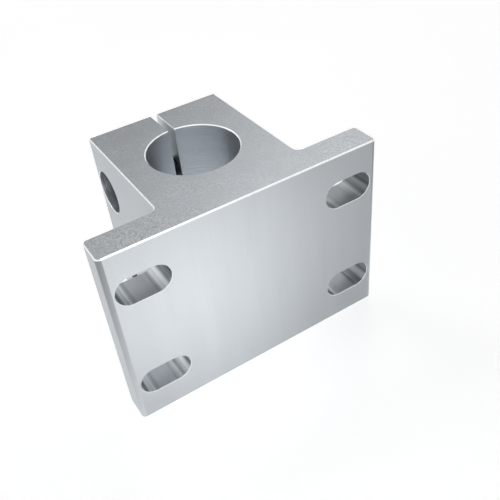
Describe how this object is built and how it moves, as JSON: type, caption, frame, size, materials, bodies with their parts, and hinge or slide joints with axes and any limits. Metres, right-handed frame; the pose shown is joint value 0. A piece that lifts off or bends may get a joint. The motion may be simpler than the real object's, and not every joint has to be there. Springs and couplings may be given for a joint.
{
  "type": "shaft support block",
  "caption": "T-shaped split block that clamps a round shaft and bolts to a flat surface through slotted holes in its base plate.",
  "frame": {"origin": "on the axis of the shaft bore, at the middle of the block's length", "axes": "+Z along the shaft, up as the block stands on its end; X across the base plate; -Y out of the mounting face"},
  "size_m": [0.062, 0.041, 0.044],
  "materials": {
    "aluminium": "satin clear-anodised faces, with finely sawn and brushed ends",
    "screw_steel": "black oxide, lightly oiled"
  },
  "bodies": {
    "root": {"block": "aluminium", "clamp_screw_upper": "screw_steel", "clamp_screw_lower": "screw_steel"}
  },
  "joints": []
}
